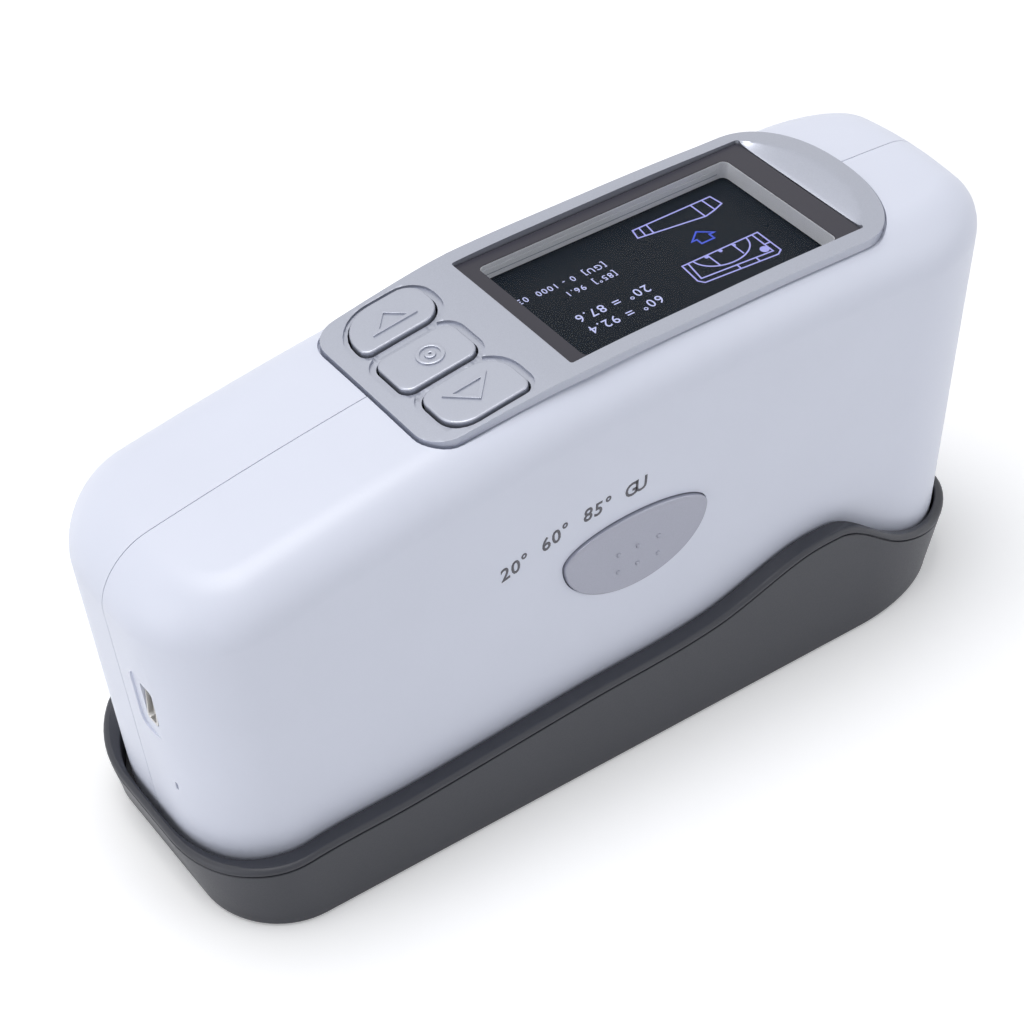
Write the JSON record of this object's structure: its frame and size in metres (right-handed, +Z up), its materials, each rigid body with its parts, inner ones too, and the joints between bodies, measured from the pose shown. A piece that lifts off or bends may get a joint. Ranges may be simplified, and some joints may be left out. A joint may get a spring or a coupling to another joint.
{
  "type": "gloss meter",
  "caption": "Hand-held three-angle gloss meter with an arched white case, silver key and display panel and side test button, resting in its dark calibration base.",
  "frame": {"origin": "middle of the underside of the calibration base, on the surface that it stands on", "axes": "+X to the display end, -X to the socket end, -Y to the side with the test button, +Z up"},
  "size_m": [0.161, 0.0534, 0.081],
  "materials": {
    "white_housing": "satin, lightly blue-white",
    "dark_grey_base": "fine satin texture",
    "dark_plastic": "matt black moulding",
    "black_anodised": "black anodised",
    "silver_paint": "silver metallic paint over plastic",
    "lens_glass": "clear, with a dark printed border",
    "screen": "dark display panel",
    "circuit_board": "green solder mask",
    "bright_steel": "bright plated",
    "black_glass": "polished black glass",
    "grey_foam": "closed-cell foam",
    "battery_foil": "foil pouch"
  },
  "bodies": {
    "meter": {"housing_front": "white_housing", "housing_rear": "white_housing", "calibration_base": "dark_grey_base", "base_cover": "dark_plastic", "bottom_plate": "dark_plastic", "display_carrier": "dark_plastic", "switch_up": "dark_plastic", "switch_enter": "dark_plastic", "switch_down": "dark_plastic", "test_switch": "dark_plastic", "reset_switch": "dark_plastic", "optics_block": "black_anodised", "receiver_20": "black_anodised", "receiver_60": "black_anodised", "receiver_85": "black_anodised", "top_panel": "silver_paint", "display_lens": "lens_glass", "lcd_module": "screen", "display_board": "circuit_board", "key_board": "circuit_board", "test_board": "circuit_board", "main_board": "circuit_board", "lamp_20": "bright_steel", "lamp_60": "bright_steel", "lamp_85": "bright_steel", "usb_socket": "bright_steel", "base_screw_1": "bright_steel", "base_screw_2": "bright_steel", "base_screw_3": "bright_steel", "base_screw_4": "bright_steel", "housing_screw_1": "bright_steel", "housing_screw_2": "bright_steel", "housing_screw_3": "bright_steel", "housing_screw_4": "bright_steel", "plate_screw_1": "bright_steel", "plate_screw_2": "bright_steel", "plate_screw_3": "bright_steel", "plate_screw_4": "bright_steel", "optics_screw_1": "bright_steel", "optics_screw_2": "bright_steel", "display_screw_1": "bright_steel", "display_screw_2": "bright_steel", "display_screw_3": "bright_steel", "display_screw_4": "bright_steel", "key_screw_1": "bright_steel", "key_screw_2": "bright_steel", "test_screw_1": "bright_steel", "test_screw_2": "bright_steel", "main_screw_1": "bright_steel", "main_screw_2": "bright_steel", "standard_tile": "black_glass", "tile_pad": "grey_foam", "battery": "battery_foil"},
    "key_up": {"key_up": "silver_paint"},
    "key_enter": {"key_enter": "silver_paint"},
    "key_down": {"key_down": "silver_paint"},
    "test_button": {"test_button": "silver_paint"}
  },
  "joints": [
    {"name": "key_up_press", "type": "slide", "parent": "meter", "child": "key_up", "axis": [0.1539, 0, -0.9881], "range_m": [0, 0.0006], "stiffness_N_per_m": 1500, "springref_m": -0.0004},
    {"name": "key_enter_press", "type": "slide", "parent": "meter", "child": "key_enter", "axis": [0.1539, 0, -0.9881], "range_m": [0, 0.0006], "stiffness_N_per_m": 1500, "springref_m": -0.0004},
    {"name": "key_down_press", "type": "slide", "parent": "meter", "child": "key_down", "axis": [0.1539, 0, -0.9881], "range_m": [0, 0.0006], "stiffness_N_per_m": 1500, "springref_m": -0.0004},
    {"name": "test_button_press", "type": "slide", "parent": "meter", "child": "test_button", "axis": [0, 1, 0], "range_m": [0, 0.0008], "stiffness_N_per_m": 1500, "springref_m": -0.0004}
  ]
}
